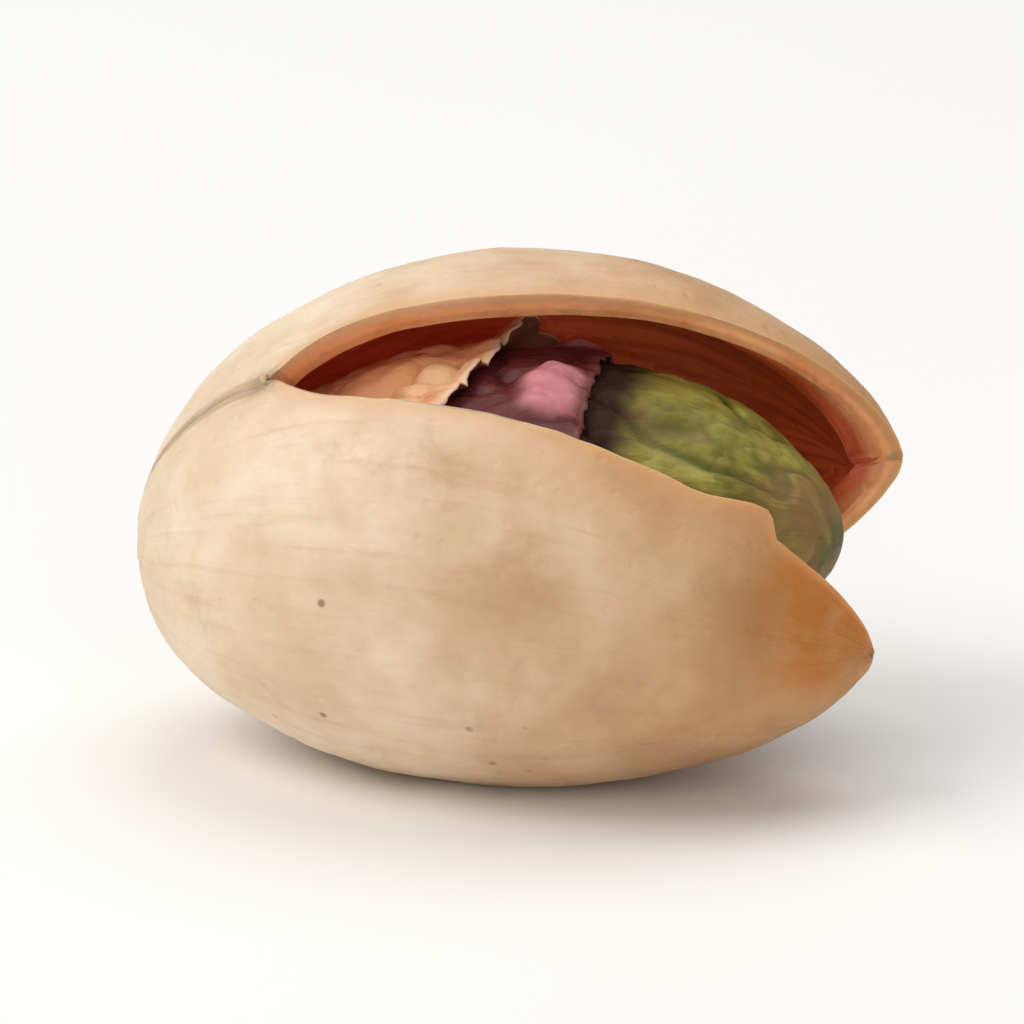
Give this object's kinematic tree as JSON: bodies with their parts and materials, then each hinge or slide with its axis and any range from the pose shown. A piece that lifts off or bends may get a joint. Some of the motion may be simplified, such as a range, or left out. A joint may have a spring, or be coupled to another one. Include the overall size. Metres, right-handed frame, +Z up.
{
  "type": "pistachio in shell",
  "caption": "Pistachio nut in its split hard shell, lying on its side, with the green kernel and the rest of its papery skin in the open gape.",
  "frame": {"origin": "middle of the footprint, on the level that the nut rests on", "axes": "+X from the stem end to the tip, +Z up, with the open belly seam rolled towards -Y"},
  "size_m": [0.019, 0.0142, 0.0124],
  "materials": {
    "shell": "satin",
    "kernel": "satin",
    "skin": "matte"
  },
  "bodies": {
    "root": {"shell": "shell", "kernel": "kernel", "kernel_skin": "skin"}
  },
  "joints": []
}
